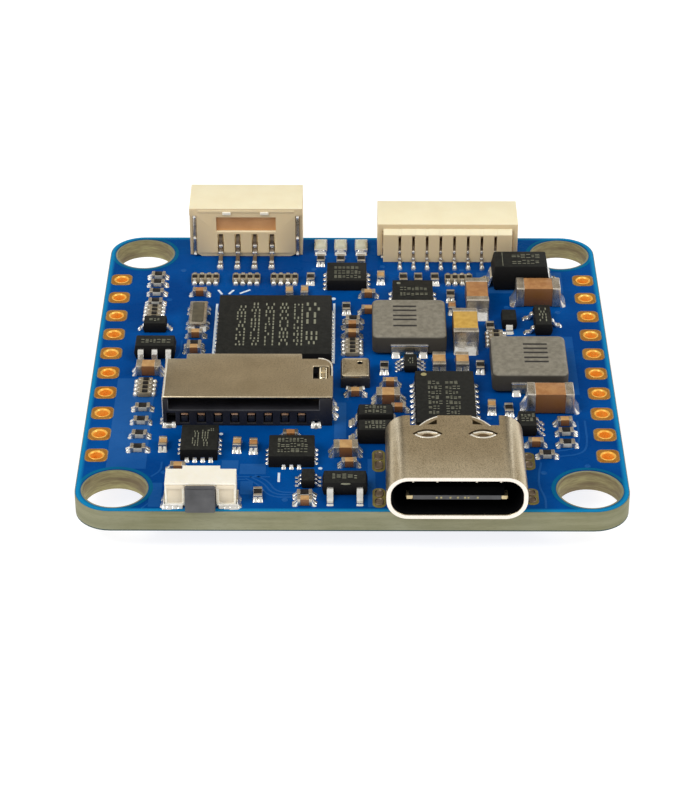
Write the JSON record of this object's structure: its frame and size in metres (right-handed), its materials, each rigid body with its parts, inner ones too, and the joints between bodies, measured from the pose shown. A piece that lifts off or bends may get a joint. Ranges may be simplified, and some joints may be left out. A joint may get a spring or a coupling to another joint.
{
  "type": "flight controller board",
  "caption": "Square drone flight controller board with a USB-C socket, memory card socket, side push button, two plug connectors, chips, wire pads and corner mounting holes.",
  "frame": {"origin": "centre of the 30.5 mm mounting-hole pattern on the board's underside", "axes": "+Z out of the component side, +Y towards the edge with the two plug connectors, -Y towards the USB socket and the button"},
  "size_m": [0.0356, 0.0372, 0.0055],
  "materials": {
    "circuit_board": "glossy blue solder mask over glass-epoxy laminate",
    "bright_steel": "satin nickel-plated sheet",
    "gold_plate": "gold-plated contact",
    "tinned_metal": "bright tin plate",
    "black_plastic": "moulded black plastic",
    "cream_plastic": "moulded cream plastic",
    "grey_plastic": "moulded grey plastic",
    "mould_compound": "fine-grained black chip mould",
    "ferrite": "pressed iron-powder body",
    "tan_ceramic": "fired ceramic, slightly glossy",
    "yellow_ceramic": "fired ceramic, slightly glossy",
    "led_lens": "translucent white lens"
  },
  "bodies": {
    "board": {"circuit_board": "circuit_board", "usb_shell": "bright_steel", "usb_insulator": "black_plastic", "usb_latch_edge_left": "gold_plate", "usb_latch_edge_right": "gold_plate", "card_socket_base": "black_plastic", "card_socket_shell": "bright_steel", "button_housing": "cream_plastic", "button_cover": "cream_plastic", "button_dome": "bright_steel", "button_terminal_left": "tinned_metal", "button_terminal_right": "tinned_metal", "connector_a_housing": "cream_plastic", "connector_a_pin_1": "tinned_metal", "connector_a_pin_2": "tinned_metal", "connector_a_pin_3": "tinned_metal", "connector_a_pin_4": "tinned_metal", "connector_a_nail_left": "tinned_metal", "connector_a_nail_right": "tinned_metal", "connector_b_housing": "cream_plastic", "connector_b_pin_1": "tinned_metal", "connector_b_pin_2": "tinned_metal", "connector_b_pin_3": "tinned_metal", "connector_b_pin_4": "tinned_metal", "connector_b_pin_5": "tinned_metal", "connector_b_pin_6": "tinned_metal", "connector_b_pin_7": "tinned_metal", "connector_b_pin_8": "tinned_metal", "connector_b_nail_left": "tinned_metal", "connector_b_nail_right": "tinned_metal", "processor": "mould_compound", "motion_sensor_left": "mould_compound", "motion_sensor_right": "mould_compound", "video_overlay_chip": "mould_compound", "switching_regulator": "mould_compound", "charge_chip": "mould_compound", "load_switch": "mould_compound", "linear_regulator": "mould_compound", "transistor_front": "mould_compound", "transistor_right": "mould_compound", "buffer_chip": "mould_compound", "reference_chip": "mould_compound", "power_diode": "mould_compound", "diode_upper": "mould_compound", "diode_lower": "mould_compound", "diode_left": "mould_compound", "diode_right": "mould_compound", "inductor_left": "ferrite", "inductor_right": "ferrite", "capacitor_front_right": "tan_ceramic", "capacitor_back_right": "tan_ceramic", "capacitor_back_centre": "tan_ceramic", "crystal": "tan_ceramic", "capacitor_centre": "yellow_ceramic", "led_left": "led_lens", "led_middle": "led_lens", "led_right": "led_lens", "pressure_sensor_base": "black_plastic", "pressure_sensor_lid": "bright_steel"},
    "plunger": {"button_plunger": "grey_plastic"}
  },
  "joints": [
    {"name": "button_press", "type": "slide", "parent": "board", "child": "plunger", "axis": [0, 1, 0], "range_m": [0, 0.00025]}
  ]
}
